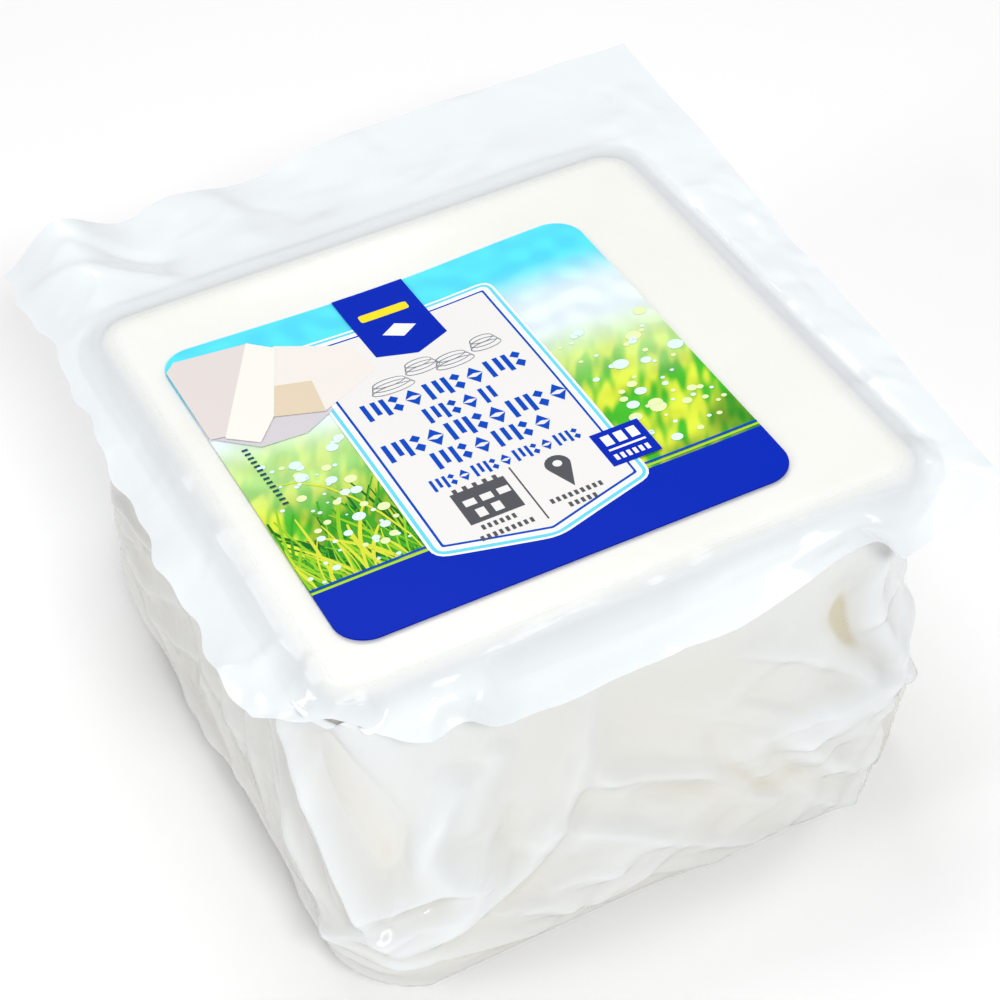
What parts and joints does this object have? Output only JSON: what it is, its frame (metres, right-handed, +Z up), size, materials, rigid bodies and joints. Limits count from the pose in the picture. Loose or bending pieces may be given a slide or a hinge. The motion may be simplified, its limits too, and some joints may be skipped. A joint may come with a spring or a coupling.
{
  "type": "vacuum-packed cheese block",
  "caption": "Square block of white brined cheese sealed in clear vacuum film, with a wide wavy welded flange round the top and a square printed label.",
  "frame": {"origin": "middle of the base that the pack rests on, under the middle of the block's top face", "axes": "+Z up, +Y towards the top of the label and the wide back flange, +X to the right along the label"},
  "size_m": [0.1455, 0.157, 0.0753],
  "materials": {
    "film_over_cheese": "glossy clear film drawn tight over white cheese",
    "lid_film": "glossy clear film",
    "label_print": "smooth printed label"
  },
  "bodies": {
    "root": {"cup": "film_over_cheese", "lid": "lid_film", "label": "label_print"}
  },
  "joints": []
}
